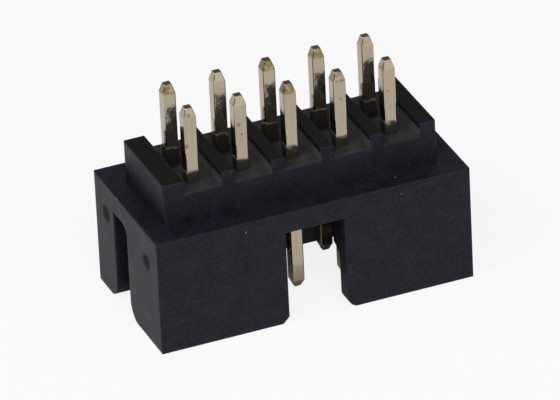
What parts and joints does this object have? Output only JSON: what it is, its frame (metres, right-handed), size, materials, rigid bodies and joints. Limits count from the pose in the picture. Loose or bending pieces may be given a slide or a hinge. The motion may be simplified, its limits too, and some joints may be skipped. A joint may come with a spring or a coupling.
{
  "type": "shrouded box header",
  "caption": "Black moulded box header for a keyed ribbon cable plug, with square plated pins and straight solder tails, standing on its mating rim.",
  "frame": {"origin": "middle of the mating rim, on the surface that the header stands on", "axes": "+X along the rows of contacts, +Y away from the side with the key slot, +Z from the mating rim towards the solder tails"},
  "size_m": [0.0126, 0.0064, 0.0089],
  "materials": {
    "black_thermoplastic": "fine matt moulded glass-filled polyester",
    "plated_pin": "bright thin plating on drawn square wire, bare at the cropped tips"
  },
  "bodies": {
    "root": {"housing": "black_thermoplastic", "pin_1": "plated_pin", "pin_2": "plated_pin", "pin_3": "plated_pin", "pin_4": "plated_pin", "pin_5": "plated_pin", "pin_6": "plated_pin", "pin_7": "plated_pin", "pin_8": "plated_pin", "pin_9": "plated_pin", "pin_10": "plated_pin"}
  },
  "joints": []
}
